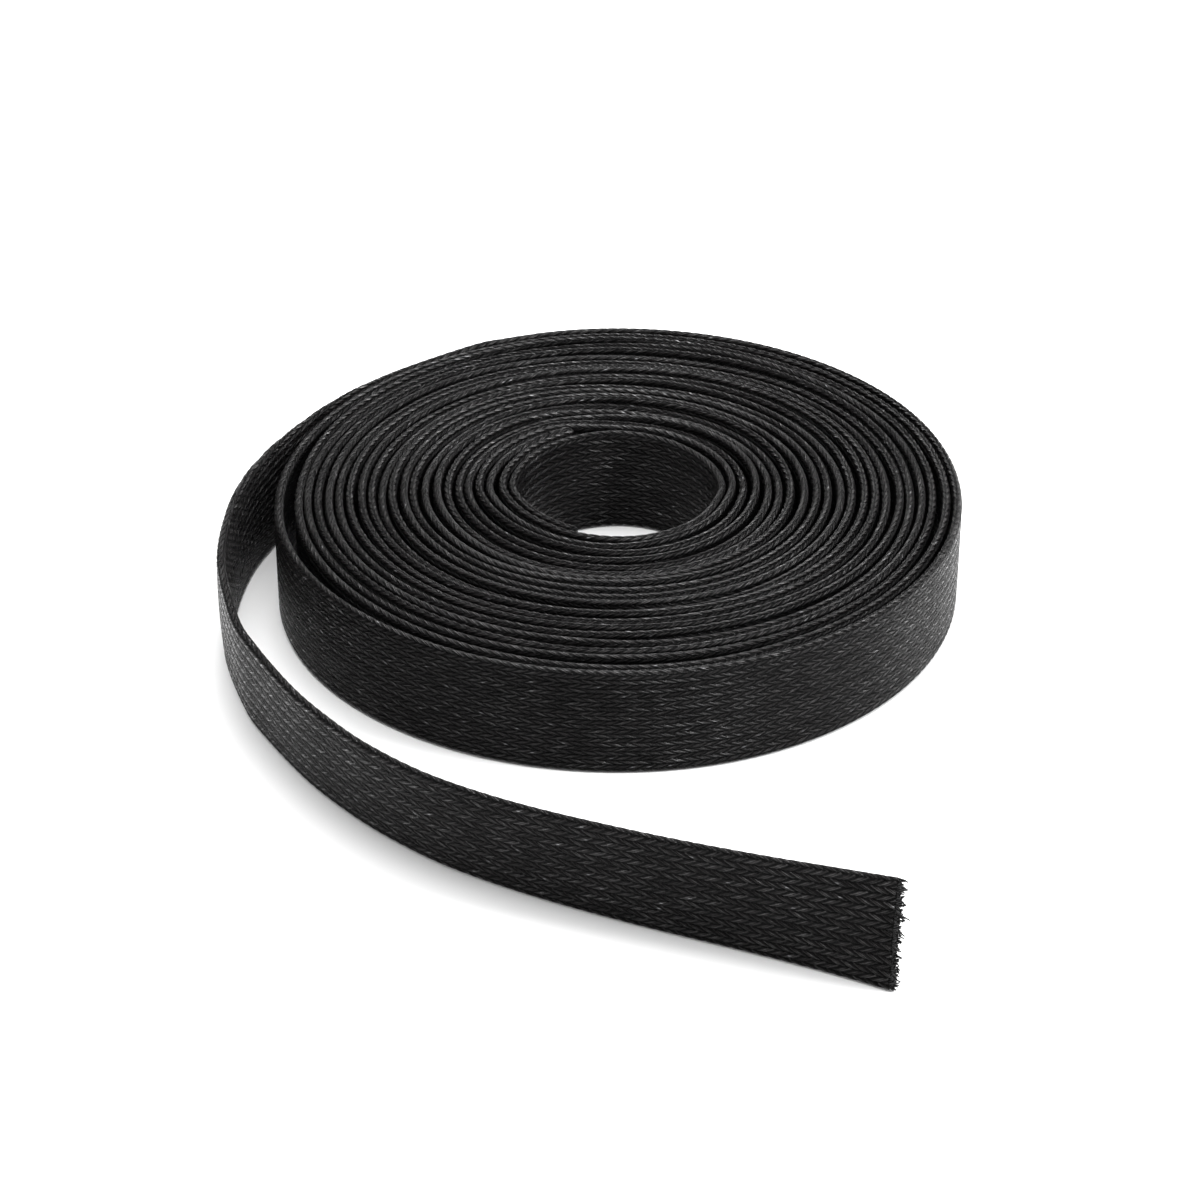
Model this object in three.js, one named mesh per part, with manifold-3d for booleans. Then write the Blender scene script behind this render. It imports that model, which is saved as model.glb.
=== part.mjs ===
import * as THREE from 'three';
import { mergeVertices } from 'three/addons/utils/BufferGeometryUtils.js';
import Module from 'manifold-3d';

// Braided cable sleeve, laid flat and wound into a roll that stands on its edge.
// Its outermost turn leaves the roll at the back, swings round the left side and
// ends in front, at the right. Millimetres, +Z up, the roll's axis upright.

// The sleeve, laid flat
const SLEEVE_WIDTH = 19;
const SLEEVE_THICKNESS = 1.7;
const EDGE_BEVEL = 0.55;

// The roll
const BORE_RADIUS = 17.3;
const TURNS = 21;
const TURN_PITCH = 1.993;
const GROOVE_DEPTH = 0.9;
const RESTING_FLAT = 0.8;
const ROLL_SIDES = 36;

// The free end: its route as seen from above, chosen by hand. Each point is an angle
// round the roll's axis in degrees, how far the sleeve's middle stands off from the
// outermost turn's, and how far its upper edge leans outwards.
const TAIL_STEP = 5.5;
const TAIL_ROUTE = [
  { angle: 122, off: -0.6, lean: 0 },
  { angle: 131, off: -0.2, lean: 0 },
  { angle: 142, off: 0.7, lean: 0 },
  { angle: 152, off: 1.5, lean: 0 },
  { angle: 163, off: 3.0, lean: 0 },
  { angle: 171.5, off: 4.6, lean: 0 },
  { angle: 179.5, off: 6.5, lean: 0 },
  { angle: 189.7, off: 9.2, lean: 0 },
  { angle: 201, off: 12.7, lean: 0.3 },
  { angle: 213.9, off: 15.9, lean: 2.1 },
  { angle: 220.8, off: 17.7, lean: 2.8 },
  { angle: 230.8, off: 21.0, lean: 3.7 },
  { angle: 238.2, off: 23.9, lean: 4.3 },
  { angle: 244.6, off: 26.6, lean: 4.8 },
  { angle: 252.3, off: 30.1, lean: 4.9 },
  { angle: 261.1, off: 34.2, lean: 4.6 },
  { angle: 270.5, off: 40.1, lean: 3.6 },
  { angle: 280.1, off: 49.0, lean: 2.2 },
  { angle: 285.5, off: 56.3, lean: 0.7 },
  { angle: 289.2, off: 63.2, lean: -1.0 },
];

const ROLL_RADIUS = BORE_RADIUS + TURNS * TURN_PITCH;

const wasm = await Module();
wasm.setup();

// A closed geometry as a solid, with its doubled vertices merged.
function toSolid(geometry) {
  geometry.deleteAttribute('normal');
  geometry.deleteAttribute('uv');
  const merged = mergeVertices(geometry);
  return new wasm.Manifold(new wasm.Mesh({
    numProp: 3,
    vertProperties: new Float32Array(merged.attributes.position.array),
    triVerts: new Uint32Array(merged.index.array),
  }));
}

function toGeometry(solid) {
  const mesh = solid.getMesh();
  const geometry = new THREE.BufferGeometry();
  geometry.setAttribute('position', new THREE.BufferAttribute(mesh.vertProperties, 3));
  geometry.setIndex(new THREE.BufferAttribute(mesh.triVerts, 1));
  geometry.computeVertexNormals();
  return geometry;
}

// One end of the roll, from the bore outwards: each turn's edge is a ridge with a
// level strip of the given width on top, and a groove lies between two turns.
function turnEdges(edgeHeight, grooveHeight, flat) {
  const points = [];
  for (let turn = 0; turn < TURNS; turn++) {
    const middle = BORE_RADIUS + (turn + 0.5) * TURN_PITCH;
    if (turn > 0) {
      points.push(new THREE.Vector2(middle - TURN_PITCH / 2, grooveHeight));
    }
    points.push(new THREE.Vector2(middle - flat / 2, edgeHeight));
    if (flat > 0) {
      points.push(new THREE.Vector2(middle + flat / 2, edgeHeight));
    }
  }
  return points;
}

// The wound turns as one turned body with its bore. The lower edges are pressed level
// where the roll rests, and the upper ones come to a ridge.
function rollBody() {
  const underside = turnEdges(0, GROOVE_DEPTH, RESTING_FLAT);
  const top = turnEdges(SLEEVE_WIDTH, SLEEVE_WIDTH - GROOVE_DEPTH, 0).reverse();
  const profile = [
    new THREE.Vector2(BORE_RADIUS, EDGE_BEVEL),
    ...underside,
    new THREE.Vector2(ROLL_RADIUS, EDGE_BEVEL),
    new THREE.Vector2(ROLL_RADIUS, SLEEVE_WIDTH - EDGE_BEVEL),
    ...top,
    new THREE.Vector2(BORE_RADIUS, SLEEVE_WIDTH - EDGE_BEVEL),
    new THREE.Vector2(BORE_RADIUS, EDGE_BEVEL),
  ];
  const geometry = new THREE.LatheGeometry(profile, ROLL_SIDES);
  geometry.rotateX(Math.PI / 2);
  return toSolid(geometry);
}

// The free end's middle line: x and y of its foot, with the lean as third coordinate.
function tailCurve() {
  const outerTurn = ROLL_RADIUS - TURN_PITCH / 2;
  const points = TAIL_ROUTE.map(({ angle, off, lean }) => {
    const turned = THREE.MathUtils.degToRad(angle);
    const radius = outerTurn + off;
    return new THREE.Vector3(radius * Math.cos(turned), radius * Math.sin(turned), lean);
  });
  return new THREE.CatmullRomCurve3(points);
}

// The flattened sleeve's section as pairs: across its thickness, and up its width.
function sleeveSection() {
  const side = SLEEVE_THICKNESS / 2;
  const shoulder = side - EDGE_BEVEL;
  const upper = SLEEVE_WIDTH - EDGE_BEVEL;
  return [
    [-shoulder, 0], [shoulder, 0], [side, EDGE_BEVEL], [side, upper],
    [shoulder, SLEEVE_WIDTH], [-shoulder, SLEEVE_WIDTH], [-side, upper], [-side, EDGE_BEVEL],
  ];
}

// The section's corners at one place on the route, leaning as the route says there,
// and raised so that the lower edge just meets the floor.
function sectionAt(curve, share) {
  const foot = curve.getPointAt(share);
  const along = curve.getTangentAt(share).setZ(0).normalize();
  const outwards = new THREE.Vector3(along.y, -along.x, 0);
  const rise = Math.sqrt(SLEEVE_WIDTH ** 2 - foot.z ** 2);
  const up = outwards.clone().multiplyScalar(foot.z).setZ(rise).divideScalar(SLEEVE_WIDTH);
  const across = new THREE.Vector3().crossVectors(up, along).negate();
  const corners = sleeveSection().map(([thick, wide]) => new THREE.Vector3(foot.x, foot.y, 0)
    .addScaledVector(across, thick)
    .addScaledVector(up, wide));
  const lowest = Math.min(...corners.map((corner) => corner.z));
  corners.forEach((corner) => { corner.z -= lowest; });
  return corners;
}

// The free end as one body: sections along the route, joined by quads and closed by a
// fan at each end.
function tailBody() {
  const curve = tailCurve();
  const steps = Math.ceil(curve.getLength() / TAIL_STEP);
  const corners = sleeveSection().length;
  const positions = [];
  const index = [];
  for (let step = 0; step <= steps; step++) {
    sectionAt(curve, step / steps).forEach((corner) => positions.push(...corner.toArray()));
  }
  for (let step = 0; step < steps; step++) {
    for (let corner = 0; corner < corners; corner++) {
      const here = step * corners + corner;
      const next = step * corners + (corner + 1) % corners;
      index.push(here, here + corners, next, next, here + corners, next + corners);
    }
  }
  const last = steps * corners;
  for (let corner = 1; corner < corners - 1; corner++) {
    index.push(0, corner, corner + 1);
    index.push(last, last + corner + 1, last + corner);
  }
  const geometry = new THREE.BufferGeometry();
  geometry.setAttribute('position', new THREE.Float32BufferAttribute(positions, 3));
  geometry.setIndex(index);
  return toSolid(geometry);
}

// The whole sleeve, with its origin on the floor at the middle of its outer box.
function sleeveGeometry() {
  const geometry = toGeometry(rollBody().add(tailBody()));
  geometry.computeBoundingBox();
  const middle = geometry.boundingBox.getCenter(new THREE.Vector3());
  geometry.translate(-middle.x, -middle.y, -geometry.boundingBox.min.z);
  return geometry;
}

const blackBraid = new THREE.MeshStandardMaterial({
  color: 0x2b2a2c,
  roughness: 0.55,
  metalness: 0,
});

const sleeve = new THREE.Mesh(sleeveGeometry(), blackBraid);
sleeve.name = 'braided_sleeve';

const part = new THREE.Group();
part.add(sleeve);

export default part;
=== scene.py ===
import math

import bpy
import numpy as np
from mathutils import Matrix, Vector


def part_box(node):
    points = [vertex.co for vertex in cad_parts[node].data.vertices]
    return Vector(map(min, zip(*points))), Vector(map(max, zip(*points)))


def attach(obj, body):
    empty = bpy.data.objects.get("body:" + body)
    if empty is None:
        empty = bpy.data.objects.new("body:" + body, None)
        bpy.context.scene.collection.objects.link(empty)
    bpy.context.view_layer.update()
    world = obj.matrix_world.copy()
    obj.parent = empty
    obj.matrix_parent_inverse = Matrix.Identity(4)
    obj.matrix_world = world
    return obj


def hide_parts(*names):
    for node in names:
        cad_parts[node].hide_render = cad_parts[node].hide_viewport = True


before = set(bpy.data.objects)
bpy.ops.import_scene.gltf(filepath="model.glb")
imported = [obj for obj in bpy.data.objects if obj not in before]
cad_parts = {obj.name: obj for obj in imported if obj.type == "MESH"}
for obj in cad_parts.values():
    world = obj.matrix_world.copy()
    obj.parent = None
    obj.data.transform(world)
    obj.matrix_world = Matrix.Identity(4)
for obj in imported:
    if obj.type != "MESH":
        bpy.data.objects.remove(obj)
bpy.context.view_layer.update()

# A black braided cable sleeve, laid flat and wound into a roll that stands on its
# edge. Metres, +Z up, the roll's axis upright, the same frame as the solids.
sleeve_low, sleeve_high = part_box("braided_sleeve")

# The flattened sleeve
SLEEVE_WIDTH = 0.019
FOLD_RADIUS = 0.00055

# The weave: flat strands of three filaments, two over and two under. Ribs are counted
# round the sleeve, and a strand runs one step along the sleeve for each rib it crosses.
RIBS = 46
RIB_WIDTH = 0.0008585
FLOAT_STEP = 0.00202
STRAND_WIDTH = 0.0008
FILAMENTS = 3
FILAMENT_RADIUS = 0.00012
STRAND_LIFT = 0.00014
STRAND_GROOVE = 0.00024
# How many ribs the free end's outer side gives up, where the weave is spread
SPREAD_RIBS = 6.5

# The weave's fine relief, in the material only. FLATTER is the share of a strand's lift
# that it takes back, because the mesh already has it.
FILAMENT_RELIEF = 0.00011
FILAMENT_TILT = 0.00038
KINK_RELIEF = 0.00009
FLATTER = 0.7
# The painted shade in the line where two strands meet, how dark a strand's edges are painted,
# and the painted glints
PAINTED_CREASE_DEPTH = 0.00020
PAINTED_CREASE_LINE = 0.7
PAINTED_EDGE_SHADE = 1.5
PAINTED_GLINT_SHARE = 0.02
PAINTED_GLINT_REACH = 0.07

# The cut ends: how far the middle line runs past them, how they open, and how they fray
END_SPARE = 0.003
FLARE = 0.0006
FLARE_REACH = 0.035
WALL = 0.00042
MOUTH_DEPTH = 0.004
CUT_SHORT = 0.0003
CUT_WANDER = 0.00025
# How far before the cuts the strands' zigzag grid gives way to straight columns
FREE_END_ROOM = 0.0045
INNER_END_ROOM = 0.003

# The loose filaments: rods that start before the cut, most of them short past it
ROD_SIDES = 5
ROD_RINGS = 5
ROD_ROOT = 0.0009
FRAY = 0.0011
FRAY_POWER = 2.4
FRAY_SHORT = 0.0001
LONG_FRAY = 0.0006
LONG_SHARE = 0.04
# Their depth under the skin, in radii: at the cut, and how much more further in
SUNK_AT_CUT = 1.2
SUNK_MORE = 1.4
SUNK_REACH = 0.0003
# Their bend at a millimetre past the cut, times a random number
BEND_AT = 0.001
BEND_RIBS = 0.16
BEND_OUT = 0.00010

# How the section changes along the sleeve
LEAN_WANDER = 0.00022
FOLD_SPARE = 0.13
FOLD_WANDER = 0.08
DIP = 0.00055
REST_LIFT = 0.00012
WOUND_LIFT = 0.00055
FLAT_BULGE = 0.00003
LOOSE_BULGE = 0.00020
DRIFT_RIBS = 0.5

# The roll
BORE_RADIUS = 0.0173
TURNS = 21
TURN_PITCH = 0.001993
ROLL_RADIUS = BORE_RADIUS + TURNS * TURN_PITCH
AXIS = np.array([sleeve_high.x - ROLL_RADIUS, sleeve_high.y - ROLL_RADIUS])
# How far apart the points of the sleeve's middle line lie
LINE_STEP = 0.0002

# The inner stretch, from the cut inner end clockwise to the hairpin where the sleeve
# turns back: angle in degrees and the middle's radius as a share of the roll's.
HAIRPIN_ANGLE = 115
INNER_STRETCH = [
    (243, 0.276), (226, 0.276), (203, 0.2865), (180, 0.3085), (138, 0.3075), (90, 0.319),
    (45, 0.3035), (0, 0.302), (-15, 0.291), (-60, 0.2935), (-90, 0.305), (-117, 0.309),
    (-134, 0.3105), (-157, 0.321), (-180, 0.343), (-222, 0.3465), (-245, 0.3535),
]

# The first counterclockwise turn after the hairpin and the outermost one, in the same
# terms; the turns between them lie at the tight pitch or wider.
FIRST_TURN = [
    (115, 0.3755), (138, 0.3745), (180, 0.380), (203, 0.357), (226, 0.346), (243, 0.345),
    (270, 0.343), (300, 0.330), (345, 0.326), (360, 0.337), (405, 0.342), (430, 0.349),
    (440, 0.345), (452, 0.351), (462, 0.363), (469, 0.380), (475, 0.398),
]
OUTWARD_TURNS = 20
TIGHT_PITCH = 0.00152
OUTERMOST = [
    (115, 0.983), (138, 0.957), (160, 0.962), (180, 0.968), (205, 0.974), (225, 0.986),
    (243, 0.995), (270, 1.000), (300, 0.998), (330, 0.994), (360, 0.989), (475, 0.983),
]
INNER_WANDER = 0.00008
# Over how many degrees to each side the route is smoothed: before the hairpin, in the
# first turns and from the fifth turn on
INNER_SMOOTHING = 9
FIRST_SMOOTHING = 7
TURN_SMOOTHING = 48
SMOOTH_FROM_TURN = 5
# How much the turns' spacing varies, slowly and quickly, as powers of e
UNEVEN_SLOW = 0.6
UNEVEN_QUICK = 0.25
# Loose spots: in which outward turn, at which angle in degrees, and how many times the
# usual room is added there; and how far round each one reaches
LOOSE_SPOTS = [(18, 270, 7), (2, 272, 2.5), (16, 95, 2)]
SPOT_REACH = 38
# Where the outermost turn stands off from the others, in metres and degrees
STAND_OFF = 0.0018
STAND_OFF_MIDDLE = 202
STAND_OFF_REACH = 36.25
# Where the pieces part: how far past the last outward turn the free end begins, in
# degrees, and how far past the hairpin the core stops
FREE_END_FROM = 25
CORE_PAST_HAIRPIN = 0.004

# The free end's route: an angle round the roll's axis in degrees, how far the sleeve's
# middle stands off from the outermost turn's, and how far its upper edge leans outwards.
TAIL_ROUTE = [
    (131, -0.0002, 0), (142, 0.0007, 0), (152, 0.0017, 0), (163, 0.0034, 0),
    (171.5, 0.0053, 0), (179.5, 0.0072, 0), (189.7, 0.0096, 0), (201, 0.0128, 0.0003),
    (213.9, 0.0159, 0.0021), (220.8, 0.0177, 0.0028), (230.8, 0.0210, 0.0037),
    (238.2, 0.0239, 0.0043), (244.6, 0.0266, 0.0048), (252.3, 0.0301, 0.0049),
    (261.1, 0.0342, 0.0046), (270.5, 0.0401, 0.0036), (280.1, 0.0490, 0.0022),
    (285.5, 0.0563, 0.0007), (289.2, 0.0632, -0.0010),
]
# The braid is thinner than the solid that stands in for it, so it leans less and stands
# a little further out for the same outline.
LEAN_SHARE = 0.75
SET_OUT = [(236, 0), (257, 0.0005), (281, 0.0006), (289.2, 0.0012)]
END_REACH = -0.0003

# Painted shade: how light a side is that the next turn covers, and how it falls off below the
# folds
PAINTED_SHADE_COVERED = 0.08
OPEN_DEPTH = 0.0005
SHADE_DEPTH = 0.0010
SHADE_POWER = 1.3

# The gloss: a weak one everywhere, and a stronger coat on the open tops of the filaments
BASE_GLOSS = 0.06
COAT_ROUGHNESS = 0.13

# The light: how bright the pale surround is, and the lights' power in watts
SURROUND = 0.2
FLOOR_GLOW = 0.05
OVERHEAD_POWER = 24
RIGHT_POWER = 8.5
LEFT_POWER = 2
BACK_POWER = 6

# The photograph's viewpoint
CAMERA_FROM_AXIS = (-0.0546, -8.6946, 5.3603)
CAMERA_PITCH = 58.002
CAMERA_LENS = 102.77
SENSOR_WIDTH = 36


def on_circle(angle, radius):
    """Points at angles in degrees and radii round the roll's axis."""
    turned = np.radians(angle)
    return AXIS + np.stack([radius * np.cos(turned), radius * np.sin(turned)], axis=-1)


def softened(values, reach):
    """A row of values, each the Hann-weighted mean of those within reach places of it."""
    weights = np.hanning(2 * reach + 3)
    padded = np.concatenate([
        2 * values[0] - values[reach + 1:0:-1],
        values,
        2 * values[-1] - values[-2:-reach - 3:-1],
    ])
    return np.convolve(padded, weights / weights.sum(), mode="valid")


def ramp_up(values, start, reach):
    """0 up to the start, rising evenly to 1 over the reach."""
    return np.clip((values - start) / reach, 0, 1)


def slow_noise(place, wavelength, seed):
    """Smooth seeded noise in -1..1: random knots a wavelength apart, eased between."""
    count = 8192
    knots = np.random.default_rng(seed).uniform(-1, 1, count)
    at = place / wavelength + 40
    base = np.floor(at).astype(int)
    share = at - base
    eased = share * share * (3 - 2 * share)
    return knots[base % count] * (1 - eased) + knots[(base + 1) % count] * eased


def through_points(points, steps):
    """A Catmull-Rom curve: between two points, the cubic with their neighbours' slopes."""
    points = np.asarray(points, dtype=float)
    ends = np.vstack([2 * points[0] - points[1], points, 2 * points[-1] - points[-2]])
    slopes = (ends[2:] - ends[:-2]) / 2
    share = np.linspace(0, 1, steps, endpoint=False)[None, :, None]
    start, stop = points[:-1, None, :], points[1:, None, :]
    rise, fall = slopes[:-1, None, :], slopes[1:, None, :]
    curve = (
        (2 * share**3 - 3 * share**2 + 1) * start + (share**3 - 2 * share**2 + share) * rise
        + (3 * share**2 - 2 * share**3) * stop + (share**3 - share**2) * fall
    )
    return np.vstack([curve.reshape(-1, points.shape[1]), points[-1:]])


def run_on(start, stop, reach):
    """The point that lies the reach past the stop, straight on from the start."""
    return stop + (stop - start) / np.hypot(*(stop - start)) * reach


def wound_route():
    """The middle line's plan and lean: inner stretch, hairpin, outward turns, free end.

    The outward turns share out the room between the first and the outermost one: each
    gets the tight pitch and a part of what is spare, in proportion to its unevenness
    over all the laps at that angle. The third value is the hairpin's place in the plan.
    """
    inner_angles = np.arange(INNER_STRETCH[0][0], INNER_STRETCH[-1][0] - 1, -1.0)
    table = np.array(INNER_STRETCH[::-1])
    inner = np.interp(inner_angles, table[:, 0], table[:, 1])
    inner = softened(inner, INNER_SMOOTHING) * ROLL_RADIUS
    inner += INNER_WANDER * slow_noise(inner_angles, 23, 3)

    outward_angles = np.arange(HAIRPIN_ANGLE, HAIRPIN_ANGLE + 360 * OUTWARD_TURNS + 6, 1.0)
    turn = np.floor((outward_angles - HAIRPIN_ANGLE) / 360)
    angle = outward_angles - 360 * turn
    first = np.array(FIRST_TURN)
    last = np.array(OUTERMOST)
    nearest = np.interp(angle, first[:, 0], first[:, 1]) * ROLL_RADIUS
    furthest = np.interp(angle, last[:, 0], last[:, 1]) * ROLL_RADIUS
    fewer = OUTWARD_TURNS - 1
    laps = np.interp(angle, (HAIRPIN_ANGLE, 138, 475), (OUTWARD_TURNS, fewer, fewer))
    uneven = np.exp(UNEVEN_SLOW * slow_noise(outward_angles, 71, 5)
                    + UNEVEN_QUICK * slow_noise(outward_angles, 23, 6))
    for lap, spot, looseness in LOOSE_SPOTS:
        away = outward_angles - 360 * lap - spot
        uneven *= 1 + looseness * np.exp(-(away / SPOT_REACH) ** 2)
    stacked = np.zeros_like(uneven)
    for lap in range(1, OUTWARD_TURNS + 1):
        here, before = turn == lap, turn == lap - 1
        stacked[here] = stacked[before][:here.sum()] + uneven[here]
    whole = stacked[turn == fewer]
    whole = whole[np.minimum(angle - HAIRPIN_ANGLE, 359).astype(int)]
    whole = np.where(laps > fewer, whole * laps / fewer, whole)
    spare = furthest - nearest - TIGHT_PITCH * laps
    outward = nearest + TIGHT_PITCH * turn + spare * stacked / whole
    turns_wound = (outward_angles - HAIRPIN_ANGLE) / 360
    smooth = np.clip(turns_wound / SMOOTH_FROM_TURN, 0, 1)
    smooth *= np.clip(OUTWARD_TURNS - turns_wound, 0, 1)
    outward = (softened(outward, FIRST_SMOOTHING) * (1 - smooth)
               + softened(outward, TURN_SMOOTHING) * smooth)
    from_middle = outward_angles - 360 * fewer - STAND_OFF_MIDDLE
    outward += STAND_OFF * np.exp(-(from_middle / STAND_OFF_REACH) ** 2)

    inner_points = on_circle(inner_angles, inner)
    outward_points = on_circle(outward_angles, outward)
    middle = (inner_points[-1] + outward_points[0]) / 2
    arm = inner_points[-1] - middle
    swing = np.radians(np.linspace(0, 180, 13))[1:-1, None]
    side = np.array([-arm[1], arm[0]])
    hairpin = middle + arm * np.cos(swing) + side * np.sin(swing)

    keep = len(outward_points) - 16
    lead_in = [(*outward_points[keep + step], 0) for step in (0, 6, 12)]
    outer_middle = ROLL_RADIUS - TURN_PITCH / 2
    set_out = np.array(SET_OUT)
    loose = [
        (*on_circle(a, outer_middle + off + np.interp(a, *set_out.T)), lean * LEAN_SHARE)
        for a, off, lean in TAIL_ROUTE
    ]
    tail = through_points(lead_in + loose, 12)
    plan = np.vstack([inner_points, hairpin, outward_points[:keep], tail[:, :2]])
    before = run_on(plan[1], plan[0], END_SPARE)
    beyond = run_on(plan[-2], plan[-1], END_SPARE + END_REACH)
    lean = np.concatenate([np.zeros(len(plan) - len(tail) + 1), tail[:, 2], tail[-1:, 2]])
    plan = np.vstack([before, plan, beyond])
    return plan, lean, 1 + len(inner_points) + len(hairpin) // 2


def middle_line():
    """The route resampled evenly by length, with tangents and the section's slow changes.

    It runs on a little past both cut ends, straight, for the loose filaments. The section
    loosens where the free end leaves the roll, and the turns before it are wound tight.
    """
    plan, lean, turn_back = wound_route()
    steps = np.hypot(*np.diff(plan, axis=0).T)
    length = np.concatenate([[0], np.cumsum(steps)])
    along = np.arange(0, length[-1], LINE_STEP)
    x = np.interp(along, length, plan[:, 0])
    y = np.interp(along, length, plan[:, 1])
    tangent = np.gradient(np.stack([x, y]), along, axis=1)
    tangent = np.stack([softened(part, 2) for part in tangent])
    tangent /= np.hypot(*tangent)
    angle = np.degrees(np.unwrap(np.arctan2(y - AXIS[1], x - AXIS[0])))
    hairpin = length[turn_back]
    after = along > hairpin
    outward_angle = np.where(after, angle - angle[np.argmax(after)] + HAIRPIN_ANGLE, 0)
    last_turn = 360 * (OUTWARD_TURNS - 1)
    tail_turn = 360 * OUTWARD_TURNS
    loose = ramp_up(outward_angle, tail_turn + 120, 60)
    spread = ramp_up(outward_angle, tail_turn + 130, 70)
    wound = 1 - ramp_up(outward_angle, last_turn + 60, 60)
    to_end = ramp_up(along, along[-1] - END_SPARE - FLARE_REACH, FLARE_REACH)
    lift = REST_LIFT + WOUND_LIFT * wound * np.clip(slow_noise(along, 0.051, 13), 0, 1)
    dips = wound * np.clip(slow_noise(along, 0.043, 15) + 0.25, 0, 1)
    fold_share = 1 + FOLD_SPARE * (1 - wound) + FOLD_WANDER * slow_noise(along, 0.021, 12)
    return {
        "along": along,
        "x": x,
        "y": y,
        "tx": tangent[0],
        "ty": tangent[1],
        "lean": np.interp(along, length, lean) + LEAN_WANDER * slow_noise(along, 0.034, 11),
        "fold": FOLD_RADIUS * fold_share,
        "flare": FLARE * to_end**2 - DIP * dips,
        "face_ribs": RIBS / 2 - SPREAD_RIBS * spread * spread * (3 - 2 * spread),
        "bulge": FLAT_BULGE + LOOSE_BULGE * loose,
        "lift": lift * (1 - loose),
        "drift": DRIFT_RIBS * slow_noise(along, 0.085, 14),
        "outward_angle": outward_angle,
        "hairpin": hairpin,
    }


line = middle_line()
sleeve_start = END_SPARE
sleeve_end = line["along"][-1] - END_SPARE


def line_value(name, along):
    """One of the middle line's values at places along the sleeve."""
    return np.interp(along, line["along"], line[name])


def place_at_angle(angle):
    """How far along the sleeve the outward turns reach an angle, counted on turn by turn."""
    return float(np.interp(angle, line["outward_angle"], line["along"]))


def weave(along, rib):
    """Height of the woven skin, and whether the rising family of strands shows there.

    Rising strands keep rib minus along/step constant and falling ones rib plus along/step.
    Each family lifts over its own ribs and sinks over the other's, by a cosine w made
    fuller: w times (1.875 minus 1.25 w squared plus 0.375 w to the fourth). Each strand
    falls off to its edges with the sixth power, and the higher of the two families shows.
    """
    rising = rib - along / FLOAT_STEP
    falling = rib + along / FLOAT_STEP - 0.5
    wave = np.cos(math.pi * (rib - 0.5))
    lift = STRAND_LIFT * wave * (1.875 - 1.25 * wave**2 + 0.375 * wave**4)
    edge_of_rising = (2 * np.abs(rising - np.round(rising))) ** 6
    edge_of_falling = (2 * np.abs(falling - np.round(falling))) ** 6
    high_rising = lift - STRAND_GROOVE * edge_of_rising
    high_falling = -lift - STRAND_GROOVE * edge_of_falling
    return np.maximum(high_rising, high_falling), high_rising >= high_falling


def place_on_side(along, rib):
    """Whether a rib lies on the section's outer side, and its share of the way up a side."""
    ribs_up = np.mod(rib - 0.5 + line_value("drift", along), RIBS)
    on_face = line_value("face_ribs", along)
    outer = ribs_up < on_face
    return outer, np.where(outer, ribs_up / on_face, (RIBS - ribs_up) / (RIBS - on_face))


def skin_points(along, rib, out):
    """Points of the sleeve's skin, pushed out along the section's own normal by out.

    The section is a racetrack: a quarter circle from the lower fold's middle, a straight
    side and a quarter circle up to the upper fold, and the same on the other side. The
    ribs share out each side's way round evenly.
    """
    def here(name):
        return line_value(name, along)

    quarter = math.pi / 2
    half_round = RIBS * RIB_WIDTH / 2 + here("flare")
    fold = here("fold")
    straight = half_round - math.pi * fold
    outer, share = place_on_side(along, rib)
    side = np.where(outer, 1.0, -1.0)
    way = share * half_round
    low_turn = np.clip(way / fold, 0, quarter)
    climb = np.clip(way - quarter * fold, 0, straight)
    high_turn = np.clip((way - quarter * fold - straight) / fold, 0, quarter)
    thick = fold * np.sin(low_turn) * np.cos(high_turn)
    thick += here("bulge") * np.sin(math.pi * climb / straight)
    wide = fold * (1 - np.cos(low_turn)) + climb + fold * np.sin(high_turn)
    thick = side * (thick + out * np.sin(low_turn) * np.cos(high_turn))
    wide = wide + out * (np.sin(high_turn) - np.cos(low_turn))

    tilt = np.arcsin(here("lean") / SLEEVE_WIDTH)
    along_x, along_y = here("tx"), here("ty")
    outwards = thick * np.cos(tilt) + wide * np.sin(tilt)
    height = wide * np.cos(tilt) - thick * np.sin(tilt)
    height += fold * (1 - np.cos(tilt)) + STRAND_LIFT + here("lift")
    x = here("x") + along_y * outwards
    y = here("y") - along_x * outwards
    return np.stack([x, y, height], axis=-1)


def zigzag(rib):
    """How far a column of the grid runs on with its strands: up one rib and back the next."""
    up = np.mod(rib, 2)
    return np.minimum(up, 2 - up)


def tube_quads(columns, rows):
    """Corner numbers of a tube's quads, in a grid of columns by rows that closes round."""
    column, row = np.meshgrid(np.arange(columns - 1), np.arange(rows), indexing="ij")
    following = (row + 1) % rows
    corners = np.stack([
        column * rows + row, (column + 1) * rows + row,
        (column + 1) * rows + following, column * rows + following,
    ], axis=-1)
    return corners.reshape(-1, 4)


def mesh_object(name, vertices, quads, triangles, quad_maps):
    """A mesh from arrays, its quads smooth and its lids flat, with the quads' maps by name."""
    corners = np.concatenate([quads.ravel(), triangles.ravel()]).astype(np.int32)
    sizes = np.concatenate([np.full(len(quads), 4), np.full(len(triangles), 3)])
    starts = np.concatenate([[0], np.cumsum(sizes)[:-1]]).astype(np.int32)
    mesh = bpy.data.meshes.new(name)
    mesh.vertices.add(len(vertices))
    mesh.vertices.foreach_set("co", vertices.astype(np.float32).ravel())
    mesh.loops.add(len(corners))
    mesh.loops.foreach_set("vertex_index", corners)
    mesh.polygons.add(len(sizes))
    mesh.polygons.foreach_set("loop_start", starts)
    mesh.update(calc_edges=True)
    mesh.polygons.foreach_set("use_smooth", sizes == 4)
    for map_name, values in quad_maps.items():
        uv = np.zeros((len(corners), 2), dtype=np.float32)
        uv[:len(values)] = values
        mesh.uv_layers.new(name=map_name).data.foreach_set("uv", uv.ravel())
    mesh.validate()
    mesh.update()
    piece = bpy.data.objects.new(name, mesh)
    bpy.context.collection.objects.link(piece)
    return piece


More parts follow.
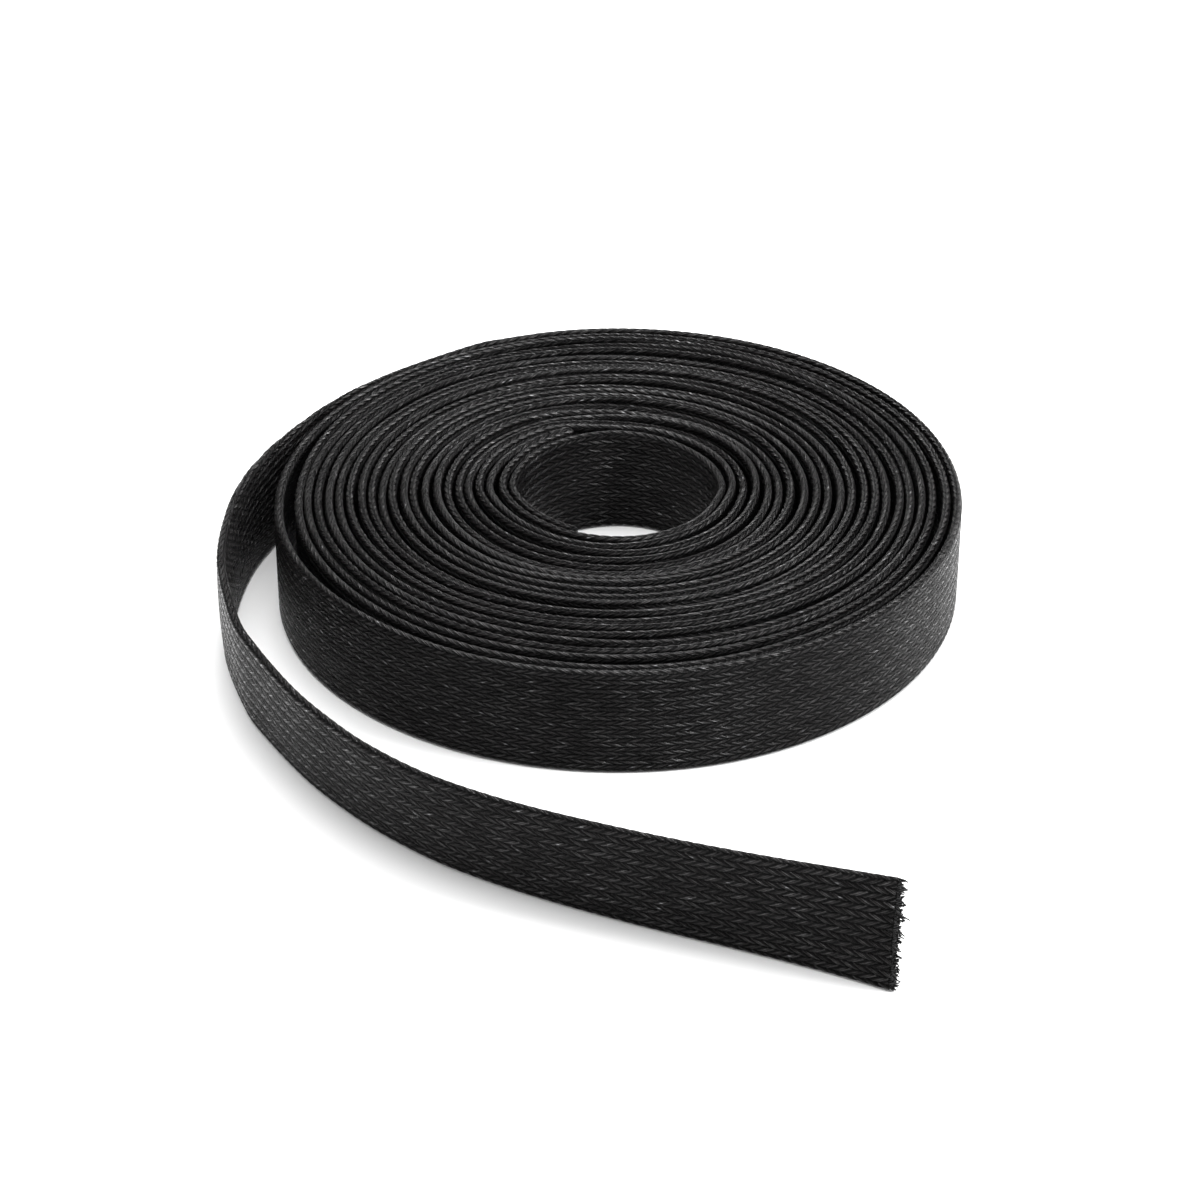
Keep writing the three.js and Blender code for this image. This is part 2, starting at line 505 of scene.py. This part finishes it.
def strand_map(quads_along, quads_rib):
    """The mesh's first map: across the strand that owns a quad's middle, and on along it."""
    _, rising_owns = weave(quads_along.mean(axis=1), quads_rib.mean(axis=1))
    owns = rising_owns[:, None]
    slope = math.atan2(RIB_WIDTH, FLOAT_STEP)
    round_way = quads_rib * RIB_WIDTH
    across = np.where(owns, quads_rib - quads_along / FLOAT_STEP,
                      quads_rib + quads_along / FLOAT_STEP - 0.5)
    onward = quads_along * math.cos(slope) + np.where(owns, 1, -1) * round_way * math.sin(slope)
    return np.stack([across, onward / STRAND_WIDTH], axis=-1).reshape(-1, 2)


def painted_shade_map(quads_along, quads_rib, covered):
    """Painted shade for each corner, in x: 1 in the open and on both folds.

    On a side that the next turn covers, the painted shade falls off below the fold to the
    covered share.
    """
    outer, share = place_on_side(quads_along, quads_rib)
    below = np.minimum(share, 1 - share) * RIBS * RIB_WIDTH / 2
    open_share = (1 - ramp_up(below, OPEN_DEPTH, SHADE_DEPTH)) ** SHADE_POWER
    shaded = PAINTED_SHADE_COVERED + (1 - PAINTED_SHADE_COVERED) * open_share
    painted_light_share = np.where(np.where(outer, covered[0], covered[1]), shaded, 1.0)
    return np.stack([painted_light_share, np.zeros_like(painted_light_share)], axis=-1).reshape(-1, 2)


def woven_stretch(name, start, stop, per_step, ribs, covered, cut_end=False, cut_start=False):
    """One stretch of the sleeve as a closed tube.

    The grid's columns run with the strands, in zigzags. A cut end runs straight across
    instead, and turns in to a mouth between the sleeve's two walls. Covered says for its
    two sides whether another turn lies against them.
    """
    count = int(round((stop - start) / FLOAT_STEP * per_step))
    base = start + np.arange(count + 1) * FLOAT_STEP / per_step
    along = base[:, None] + zigzag(ribs)[None, :] * FLOAT_STEP
    if cut_end:
        edge = sleeve_end - CUT_SHORT + CUT_WANDER * slow_noise(ribs, 0.9, 31)
        along = add_cut(along, edge, 10)
    if cut_start:
        edge = sleeve_start + CUT_SHORT + CUT_WANDER * slow_noise(ribs, 0.9, 32)
        along = add_cut(along[::-1], edge, 8)[::-1]
    rib = np.broadcast_to(ribs[None, :], along.shape)
    height, _ = weave(along, rib)
    vertices = skin_points(along, rib, height)
    columns, rows = along.shape
    quads = tube_quads(columns, rows)
    wrap = np.where(quads % rows < quads[:, :1] % rows, RIBS, 0)
    quads_along = along.ravel()[quads]
    quads_rib = rib.ravel()[quads] + wrap
    maps = {
        "strands": strand_map(quads_along, quads_rib),
        "weave": np.stack([quads_rib, quads_along / FLOAT_STEP], axis=-1).reshape(-1, 2),
        "light": painted_shade_map(quads_along, quads_rib, covered),
    }

    rings = [vertices.reshape(-1, 3)]
    total = columns * rows
    mouths = []
    fans = []
    for ring, is_cut, outward, deeper in (
        (np.arange(rows), cut_start, False, MOUTH_DEPTH),
        (total - rows + np.arange(rows), cut_end, True, -MOUTH_DEPTH),
    ):
        at = along.ravel()[ring]
        if is_cut:
            lip = skin_points(at, ribs, height.ravel()[ring] - WALL)
            floor_of_mouth = skin_points(at + deeper, ribs, -np.full(rows, WALL))
            first = sum(len(part) for part in rings)
            rings += [lip, floor_of_mouth]
            chain = [ring, first + np.arange(rows), first + rows + np.arange(rows)]
            for near, far in zip(chain[:-1], chain[1:]):
                pair = (near, far) if outward else (far, near)
                mouths.append(np.stack([
                    pair[0], pair[1], np.roll(pair[1], -1), np.roll(pair[0], -1),
                ], axis=-1))
            ring = chain[-1]
            hub = floor_of_mouth.mean(axis=0)
        else:
            hub = vertices.reshape(-1, 3)[ring].mean(axis=0)
        centre = sum(len(part) for part in rings)
        rings.append(hub[None])
        following = np.roll(ring, -1)
        pair = (ring, following) if outward else (following, ring)
        fans.append(np.stack([np.full(rows, centre), *pair], axis=-1))
    quads = np.vstack([quads, *mouths])
    return mesh_object(name, np.vstack(rings), quads, np.vstack(fans), maps)


def cut_filaments(name, at_end, seed):
    """The loose filament ends past a cut, as thin five-sided rods in one mesh.

    Each starts under the skin in its own strand and runs straight on past the cut,
    bending off with the square of the way past it. A few are longer than the rest.
    """
    draw = np.random.default_rng(seed)
    family, strand, place = np.meshgrid(
        [1, -1], np.arange(RIBS), np.arange(FILAMENTS), indexing="ij")
    family, across = family.ravel(), (strand + (place + 0.5) / FILAMENTS - 0.5).ravel()
    count = len(family)
    cut = sleeve_end if at_end else sleeve_start
    onward = 1 if at_end else -1
    length = FRAY * draw.random(count) ** FRAY_POWER - FRAY_SHORT
    length += LONG_FRAY * (draw.random(count) > 1 - LONG_SHARE)
    way = np.linspace(0, 1, ROD_RINGS)[None, :] * (ROD_ROOT + length)[:, None] - ROD_ROOT
    past = np.clip(way, 0, None)
    bend = draw.normal(0, 1, (2, count, 1)) * (past / BEND_AT) ** 2
    along = cut + onward * way
    root = across + np.where(family > 0, cut / FLOAT_STEP, 0.5 - cut / FLOAT_STEP)
    rib = root[:, None] + (family * onward)[:, None] * way / FLOAT_STEP
    rib = rib + BEND_RIBS * bend[0]
    wave = np.cos(math.pi * (root - 0.5))[:, None] * family[:, None]
    sunk = SUNK_AT_CUT + SUNK_MORE * ramp_up(-way, 0, SUNK_REACH)
    out = STRAND_LIFT * wave - sunk * FILAMENT_RADIUS + BEND_OUT * bend[1]
    middle = skin_points(along, rib, out)
    ahead = np.gradient(middle, axis=1)
    ahead /= np.linalg.norm(ahead, axis=-1, keepdims=True)
    aside = np.cross(ahead, [0.3, 0.2, 0.93])
    aside /= np.linalg.norm(aside, axis=-1, keepdims=True)
    across_both = np.cross(ahead, aside)
    turned = np.linspace(0, 2 * math.pi, ROD_SIDES, endpoint=False)[:, None]
    ring = (aside[:, :, None, :] * np.cos(turned)
            + across_both[:, :, None, :] * np.sin(turned))
    vertices = middle[:, :, None, :] + ring * FILAMENT_RADIUS
    one = tube_quads(ROD_RINGS, ROD_SIDES)
    first = np.arange(count)[:, None, None] * ROD_RINGS * ROD_SIDES
    quads = (first + one[None]).reshape(-1, 4)
    fan = np.arange(1, ROD_SIDES - 1)
    lids = np.stack([np.zeros_like(fan), fan, fan + 1], axis=-1)
    last = first + (ROD_RINGS - 1) * ROD_SIDES
    triangles = np.concatenate([first + lids[None, :, ::-1], last + lids[None]], axis=1)
    return mesh_object(name, vertices.reshape(-1, 3), quads, triangles.reshape(-1, 3), {})


def add_cut(along, edge, steps):
    """The grid with columns added that lead from its last one to a straight cut edge."""
    share = np.linspace(0, 1, steps + 1)[1:, None]
    return np.vstack([along, along[-1:] * (1 - share) + edge[None, :] * share])


def fine_ribs(low, high, per_rib):
    """Rib coordinates from low to high, the last left out."""
    return np.arange(low, high, 1 / per_rib)


# Rows of the grid round the sleeve, in ribs from the lower fold: fine where they show
FOLDS_FINE = np.concatenate([
    fine_ribs(0, 2, 2), [2, 8, 14, 20], fine_ribs(21, 26, 4), [26, 27, 28, 34, 40],
    fine_ribs(RIBS - 2, RIBS, 2),
])
FACE_FINE = np.concatenate([
    fine_ribs(0, 26, 4), [26, 27, 28, 34, 40], fine_ribs(RIBS - 2, RIBS, 2),
])
TAIL_FINE = np.concatenate([fine_ribs(0, 18, 6), fine_ribs(18, RIBS, 3)])


def camera_at_photo():
    """The camera at the photograph's viewpoint."""
    data = bpy.data.cameras.new("camera")
    data.lens = CAMERA_LENS
    data.sensor_width = SENSOR_WIDTH
    data.clip_start = 0.01
    camera = bpy.data.objects.new("camera", data)
    place = np.array(CAMERA_FROM_AXIS) * ROLL_RADIUS
    camera.location = (AXIS[0] + place[0], AXIS[1] + place[1], place[2])
    camera.rotation_euler = (math.radians(CAMERA_PITCH), 0, 0)
    bpy.context.collection.objects.link(camera)
    bpy.context.scene.camera = camera


def calculator(tree):
    """A function that adds math nodes to the tree, fed by sockets or numbers."""
    def calculate(operation, *values):
        node = tree.nodes.new("ShaderNodeMath")
        node.operation = operation
        for socket, value in zip(node.inputs, values):
            if isinstance(value, bpy.types.NodeSocket):
                tree.links.new(value, socket)
            else:
                socket.default_value = value
        return node.outputs[0]
    return calculate


def multiplied(calculate, *values):
    """All the values multiplied together, from the first on."""
    result = values[0]
    for value in values[1:]:
        result = calculate("MULTIPLY", result, value)
    return result


def noise_on_object(tree, scale, detail):
    """A noise texture's share on the object's own coordinates, where 1 is a metre."""
    coordinates = tree.nodes.new("ShaderNodeTexCoord")
    noise = tree.nodes.new("ShaderNodeTexNoise")
    noise.inputs["Scale"].default_value = scale
    noise.inputs["Detail"].default_value = detail
    tree.links.new(coordinates.outputs["Object"], noise.inputs["Vector"])
    return noise.outputs["Fac"]


def map_values(tree, map_name):
    """The output of a UV map by its name."""
    node = tree.nodes.new("ShaderNodeUVMap")
    node.uv_map = map_name
    return node.outputs[0]


def weave_group():
    """The weave's fine form from its map: rib in x, steps along in y.

    It repeats the skin's own formula for every point: two families of strands, each
    lifted over its own ribs, the higher one showing, and the round filaments across
    the strand that shows. Height is in metres, for the bump. The second output is
    painted shade: 1 on a strand's open top, falling to 0 in the dark lines between
    strands and between filaments. Float and Filament are random numbers for each of
    them, and the last output marks the few filaments that get a painted glint midway
    along their float.
    """
    group = bpy.data.node_groups.new("two_over_two_weave", "ShaderNodeTree")
    group.interface.new_socket(name="Map", in_out="INPUT", socket_type="NodeSocketVector")
    for name in ("Height", "Painted_crease_light", "Float", "Filament", "Painted_glint"):
        group.interface.new_socket(name=name, in_out="OUTPUT", socket_type="NodeSocketFloat")
    nodes, links = group.nodes, group.links
    source = nodes.new("NodeGroupInput")
    result = nodes.new("NodeGroupOutput")

    calculate = calculator(group)
    split = nodes.new("ShaderNodeSeparateXYZ")
    links.new(source.outputs["Map"], split.inputs[0])
    rib, steps = split.outputs[0], split.outputs[1]
    rising = calculate("SUBTRACT", rib, steps)
    falling = calculate("SUBTRACT", calculate("ADD", rib, steps), 0.5)
    wave = calculate("SINE", calculate("MULTIPLY", rib, math.pi))
    squared = calculate("MULTIPLY", wave, wave)
    fuller = calculate("MULTIPLY_ADD", squared, 0.375, -1.25)
    fuller = calculate("MULTIPLY_ADD", fuller, squared, 1.875)
    lift = multiplied(calculate, wave, fuller, STRAND_LIFT)

    def strand_height(across, its_lift):
        from_middle = calculate("SUBTRACT", across, calculate("ROUND", across))
        share = calculate("MULTIPLY", calculate("ABSOLUTE", from_middle), 2.0)
        edge = calculate("POWER", share, 6.0)
        return calculate("MULTIPLY_ADD", edge, -STRAND_GROOVE, its_lift)

    high_rising = strand_height(rising, lift)
    high_falling = strand_height(falling, calculate("MULTIPLY", lift, -1.0))
    owner = calculate("GREATER_THAN", high_rising, high_falling)
    pick = nodes.new("ShaderNodeMix")
    pick.data_type = "FLOAT"
    links.new(owner, pick.inputs[0])
    links.new(falling, pick.inputs[2])
    links.new(rising, pick.inputs[3])
    across = pick.outputs[0]
    round_filament = calculate("MULTIPLY", across, FILAMENTS * math.pi)
    ridges = calculate("ABSOLUTE", calculate("SINE", round_filament))
    top = calculate("MAXIMUM", high_rising, high_falling)
    # Painted shade: darker where a strand sinks under, along the crease where two strands meet,
    # and between filaments
    raised = calculate("ABSOLUTE", lift)
    sunken = calculate("MAXIMUM", calculate("SUBTRACT", raised, top), 0.0)
    sunken = calculate("POWER", calculate("DIVIDE", sunken, STRAND_GROOVE), 0.667)
    shown = calculate("MAXIMUM", calculate("MULTIPLY_ADD", sunken, -PAINTED_EDGE_SHADE, 1.0), 0.0)
    top = calculate("MULTIPLY_ADD", raised, -FLATTER, top)
    height = calculate("MULTIPLY_ADD", ridges, FILAMENT_RELIEF, top)
    apart = calculate("ABSOLUTE", calculate("SUBTRACT", high_rising, high_falling))
    painted_crease_clamp = nodes.new("ShaderNodeClamp")
    links.new(calculate("MULTIPLY_ADD", apart, 1 / PAINTED_CREASE_DEPTH, -PAINTED_CREASE_LINE), painted_crease_clamp.inputs[0])
    painted_ridge_light = calculate("MULTIPLY_ADD", ridges, 0.7, 0.3)
    painted_crease_light = multiplied(calculate, painted_crease_clamp.outputs[0], shown, painted_ridge_light)
    links.new(painted_crease_light, result.inputs["Painted_crease_light"])

    pair = calculate("FLOOR", calculate("MULTIPLY", rib, 0.5))
    strand = calculate("ROUND", across)
    filament = calculate("FLOOR", calculate("MULTIPLY", across, float(FILAMENTS)))
    for name, number in (("Float", strand), ("Filament", filament)):
        spread = nodes.new("ShaderNodeTexWhiteNoise")
        spread.noise_dimensions = "3D"
        join = nodes.new("ShaderNodeCombineXYZ")
        links.new(number, join.inputs[0])
        links.new(pair, join.inputs[1])
        links.new(owner, join.inputs[2])
        links.new(join.outputs[0], spread.inputs["Vector"])
        links.new(spread.outputs["Value"], result.inputs[name])
    for_filament = spread.outputs["Value"]
    from_middle = calculate("SUBTRACT", calculate("FRACT", rib), 0.5)
    # A painted glint on a few filaments, midway along their float
    midway = calculate("LESS_THAN", calculate("ABSOLUTE", from_middle), PAINTED_GLINT_REACH)
    chosen = calculate("GREATER_THAN", for_filament, 1 - PAINTED_GLINT_SHARE)
    painted_glint = multiplied(calculate, midway, chosen, painted_crease_light)
    links.new(painted_glint, result.inputs["Painted_glint"])
    swing = calculate("MULTIPLY", calculate("SUBTRACT", for_filament, 0.5), FILAMENT_TILT)
    height = calculate("MULTIPLY_ADD", from_middle, swing, height)
    links.new(height, result.inputs["Height"])
    return group


def black_braid():
    """Black polyester monofilament, glossy along its filaments, with painted shade between them
    and painted glints on a few.
    """
    material = bpy.data.materials.new("black_braid")
    material.use_nodes = True
    tree = material.node_tree
    nodes, links = tree.nodes, tree.links
    calculate = calculator(tree)
    shader = nodes["Principled BSDF"]
    shader.inputs["Specular IOR Level"].default_value = BASE_GLOSS
    shader.inputs["Anisotropic"].default_value = 0.6
    shader.inputs["Anisotropic Rotation"].default_value = 0.25
    shader.inputs["Coat Roughness"].default_value = COAT_ROUGHNESS
    shader.inputs["Coat IOR"].default_value = 1.5

    weave_nodes = nodes.new("ShaderNodeGroup")
    weave_nodes.node_tree = weave_group()
    links.new(map_values(tree, "weave"), weave_nodes.inputs["Map"])
    height, painted_crease_light, each_float, filament, painted_glint = weave_nodes.outputs
    # The light map holds painted shade for the sides that the next turn covers
    light = nodes.new("ShaderNodeSeparateXYZ")
    links.new(map_values(tree, "light"), light.inputs[0])
    painted_light_share = light.outputs[0]

    bump = nodes.new("ShaderNodeBump")
    bump.inputs["Strength"].default_value = 1.0
    bump.inputs["Distance"].default_value = 1.0
    kinks = noise_on_object(tree, 2800, 2)
    links.new(calculate("MULTIPLY_ADD", kinks, KINK_RELIEF, height), bump.inputs["Height"])
    links.new(bump.outputs[0], shader.inputs["Normal"])
    links.new(bump.outputs[0], shader.inputs["Coat Normal"])

    # The tint differs from float to float, from filament to filament and in wide patches
    patches = calculate("MULTIPLY_ADD", noise_on_object(tree, 160, 3), 0.6, 0.7)
    tint = calculate("MULTIPLY_ADD", each_float, 0.6, 0.45)
    tint = calculate("MULTIPLY_ADD", filament, 0.25, tint)
    ramp = nodes.new("ShaderNodeValToRGB")
    ramp.color_ramp.elements[0].color = (0.0008, 0.0008, 0.0009, 1)
    ramp.color_ramp.elements[1].color = (0.0114, 0.0097, 0.0099, 1)
    # Painted shade darkens the tint in the creases and on covered sides
    links.new(multiplied(calculate, tint, painted_crease_light, painted_light_share, patches), ramp.inputs["Fac"])
    # A painted glint: a few filaments midway along their float get a pale grey base colour
    painted_glint_mix = nodes.new("ShaderNodeMix")
    painted_glint_mix.data_type = "RGBA"
    links.new(calculate("MULTIPLY", painted_glint, painted_light_share), painted_glint_mix.inputs["Factor"])
    links.new(ramp.outputs["Color"], painted_glint_mix.inputs[6])
    painted_glint_mix.inputs[7].default_value = (0.20, 0.20, 0.21, 1)
    links.new(painted_glint_mix.outputs[2], shader.inputs["Base Color"])

    # The coat shines more on some filaments than on others; painted shade weakens it in the
    # creases and on the covered sides
    links.new(calculate("MULTIPLY_ADD", each_float, 0.16, 0.26), shader.inputs["Roughness"])
    brighter = calculate("MULTIPLY_ADD", calculate("MULTIPLY", filament, filament), 0.95, 0.3)
    duller = calculate("MULTIPLY_ADD", each_float, 0.8, 0.35)
    gloss = multiplied(calculate, brighter, painted_crease_light, duller, painted_light_share)
    links.new(gloss, shader.inputs["Coat Weight"])
    return material


def black_filament():
    """The same black monofilament, bare: glossy, a little uneven."""
    material = bpy.data.materials.new("black_filament")
    material.use_nodes = True
    tree = material.node_tree
    shader = tree.nodes["Principled BSDF"]
    shader.inputs["Specular IOR Level"].default_value = 0.35
    uneven = noise_on_object(tree, 2500, 2)
    ramp = tree.nodes.new("ShaderNodeValToRGB")
    ramp.color_ramp.elements[0].color = (0.002, 0.002, 0.0022, 1)
    ramp.color_ramp.elements[1].color = (0.016, 0.0155, 0.016, 1)
    tree.links.new(uneven, ramp.inputs["Fac"])
    tree.links.new(ramp.outputs["Color"], shader.inputs["Base Color"])
    roughness = calculator(tree)("MULTIPLY_ADD", uneven, 0.3, 0.2)
    tree.links.new(roughness, shader.inputs["Roughness"])
    return material


def pale_floor():
    """A wide pale floor with a faint glow, which lightens the shadows on it."""
    half = 3.0
    corners = [(-half, -half, 0), (half, -half, 0), (half, half, 0), (-half, half, 0)]
    mesh = bpy.data.meshes.new("floor")
    mesh.from_pydata(corners, [], [(0, 1, 2, 3)])
    floor = bpy.data.objects.new("floor", mesh)
    material = bpy.data.materials.new("pale_floor")
    material.use_nodes = True
    shader = material.node_tree.nodes["Principled BSDF"]
    shader.inputs["Base Color"].default_value = (0.80, 0.80, 0.80, 1)
    shader.inputs["Roughness"].default_value = 0.6
    shader.inputs["Specular IOR Level"].default_value = 0.2
    shader.inputs["Emission Color"].default_value = (1, 1, 1, 1)
    shader.inputs["Emission Strength"].default_value = FLOOR_GLOW
    floor.data.materials.append(material)
    bpy.context.collection.objects.link(floor)


def soft_light(name, direction, distance, size, power):
    """A square soft light in a direction from the roll, facing it."""
    data = bpy.data.lights.new(name, "AREA")
    data.shape = "SQUARE"
    data.size = size
    data.energy = power
    light = bpy.data.objects.new(name, data)
    away = np.array(direction, dtype=float)
    away /= np.linalg.norm(away)
    light.location = np.array([AXIS[0], AXIS[1], 0.01]) + away * distance
    light.rotation_euler = (
        math.acos(away[2]), 0, math.atan2(away[1], away[0]) + math.pi / 2,
    )
    bpy.context.collection.objects.link(light)


def studio_light():
    """A pale surround, with soft lights overhead, behind and at both sides.

    The picture is shown without a film curve.
    """
    world = bpy.data.worlds.new("surround")
    world.use_nodes = True
    world.node_tree.nodes["Background"].inputs[0].default_value = (1, 1, 1, 1)
    world.node_tree.nodes["Background"].inputs[1].default_value = SURROUND
    bpy.context.scene.world = world
    bpy.context.scene.view_settings.view_transform = "Standard"
    soft_light("overhead", (0.05, 0.08, 1), 1.0, 1.0, OVERHEAD_POWER)
    soft_light("back", (0.1, 1, 0.45), 1.1, 0.5, BACK_POWER)
    soft_light("right", (0.75, -0.2, 0.6), 0.9, 0.3, RIGHT_POWER)
    soft_light("left", (-0.75, -0.35, 0.5), 0.9, 0.5, LEFT_POWER)


camera_at_photo()
braid = black_braid()
filament_black = black_filament()

# The sleeve in six stretches, one after the other, and the loose filaments past both cuts
tail_start = place_at_angle(HAIRPIN_ANGLE + 360 * OUTWARD_TURNS + FREE_END_FROM)
outermost_start = place_at_angle(HAIRPIN_ANGLE + 360 * (OUTWARD_TURNS - 1))
core_stop = line["hairpin"] + CORE_PAST_HAIRPIN
free_end = woven_stretch("sleeve_free_end", tail_start, sleeve_end - FREE_END_ROOM, 4,
                         TAIL_FINE, (False, False), cut_end=True)
outermost = woven_stretch("sleeve_outermost_turn", outermost_start, tail_start, 4, FACE_FINE,
                          (False, True))
core = woven_stretch("sleeve_core", sleeve_start + INNER_END_ROOM, core_stop, 3,
                     FACE_FINE, (False, True), cut_start=True)
breaks = np.linspace(core_stop, outermost_start, 4)
turn_names = ("sleeve_inner_turns", "sleeve_middle_turns", "sleeve_outer_turns")
turns = [
    woven_stretch(name, start, stop, 3, FOLDS_FINE, (True, True))
    for name, start, stop in zip(turn_names, breaks[:-1], breaks[1:])
]
outer_fray = cut_filaments("filaments_at_free_end", True, 41)
inner_fray = cut_filaments("filaments_at_inner_end", False, 42)
woven = [free_end, outermost, core, *turns]
fraying = [outer_fray, inner_fray]
for piece in woven:
    piece.data.materials.append(braid)
for piece in fraying:
    piece.data.materials.append(filament_black)
for piece in woven + fraying:
    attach(piece, "root")
    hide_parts("braided_sleeve")

# Points along the free end's lower and upper folds
PATH_POINTS = 36
route_places = np.linspace(tail_start, sleeve_end, PATH_POINTS)
lower_ribs = 0.5 - line_value("drift", route_places)
upper_ribs = lower_ribs + line_value("face_ribs", route_places)
lower = skin_points(route_places, lower_ribs, np.zeros(PATH_POINTS))
upper = skin_points(route_places, upper_ribs, np.zeros(PATH_POINTS))

pale_floor()
studio_light()
